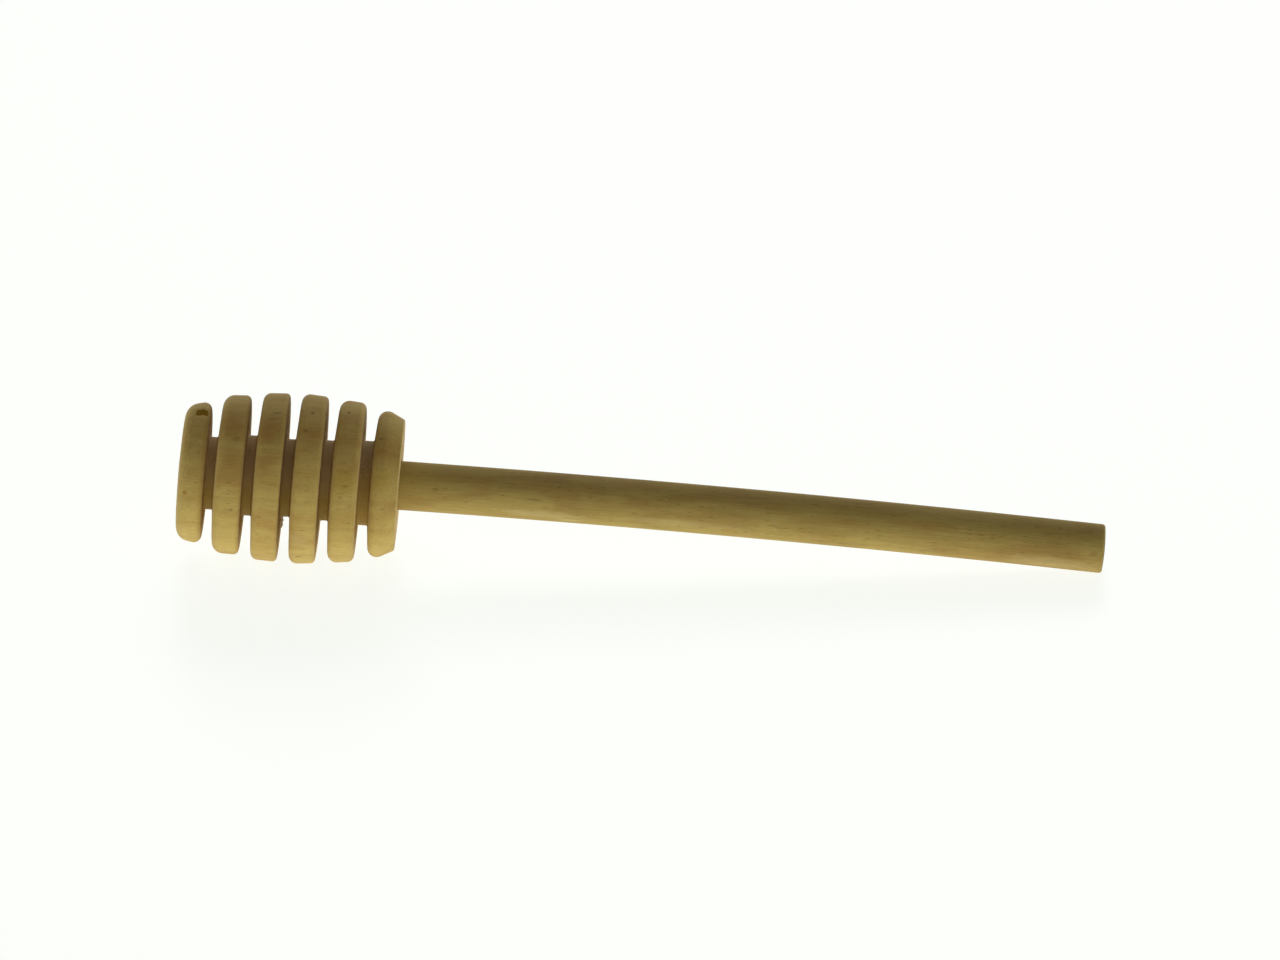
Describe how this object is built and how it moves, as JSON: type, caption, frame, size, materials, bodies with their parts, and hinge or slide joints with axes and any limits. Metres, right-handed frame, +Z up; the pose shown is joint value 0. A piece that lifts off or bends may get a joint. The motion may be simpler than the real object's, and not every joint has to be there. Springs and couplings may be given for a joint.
{
  "type": "honey dipper",
  "caption": "Turned wooden honey dipper: a barrel-shaped grooved head on a plain round dowel handle, lying on its side.",
  "frame": {"origin": "centre of the dipper's bounding box at its bottom, on the surface that it lies on", "axes": "+X along the dipper's length, from the head to the handle's end, +Z up; the dipper's own axis leans down towards +X, because it lies on the widest disc of its head and on the end of its handle"},
  "size_m": [0.1514, 0.0278, 0.0279],
  "materials": {
    "head_wood": "matte turned beech, end grain in the grooves",
    "handle_wood": "matte sanded beech dowel"
  },
  "bodies": {
    "root": {"head": "head_wood", "handle": "handle_wood"}
  },
  "joints": []
}
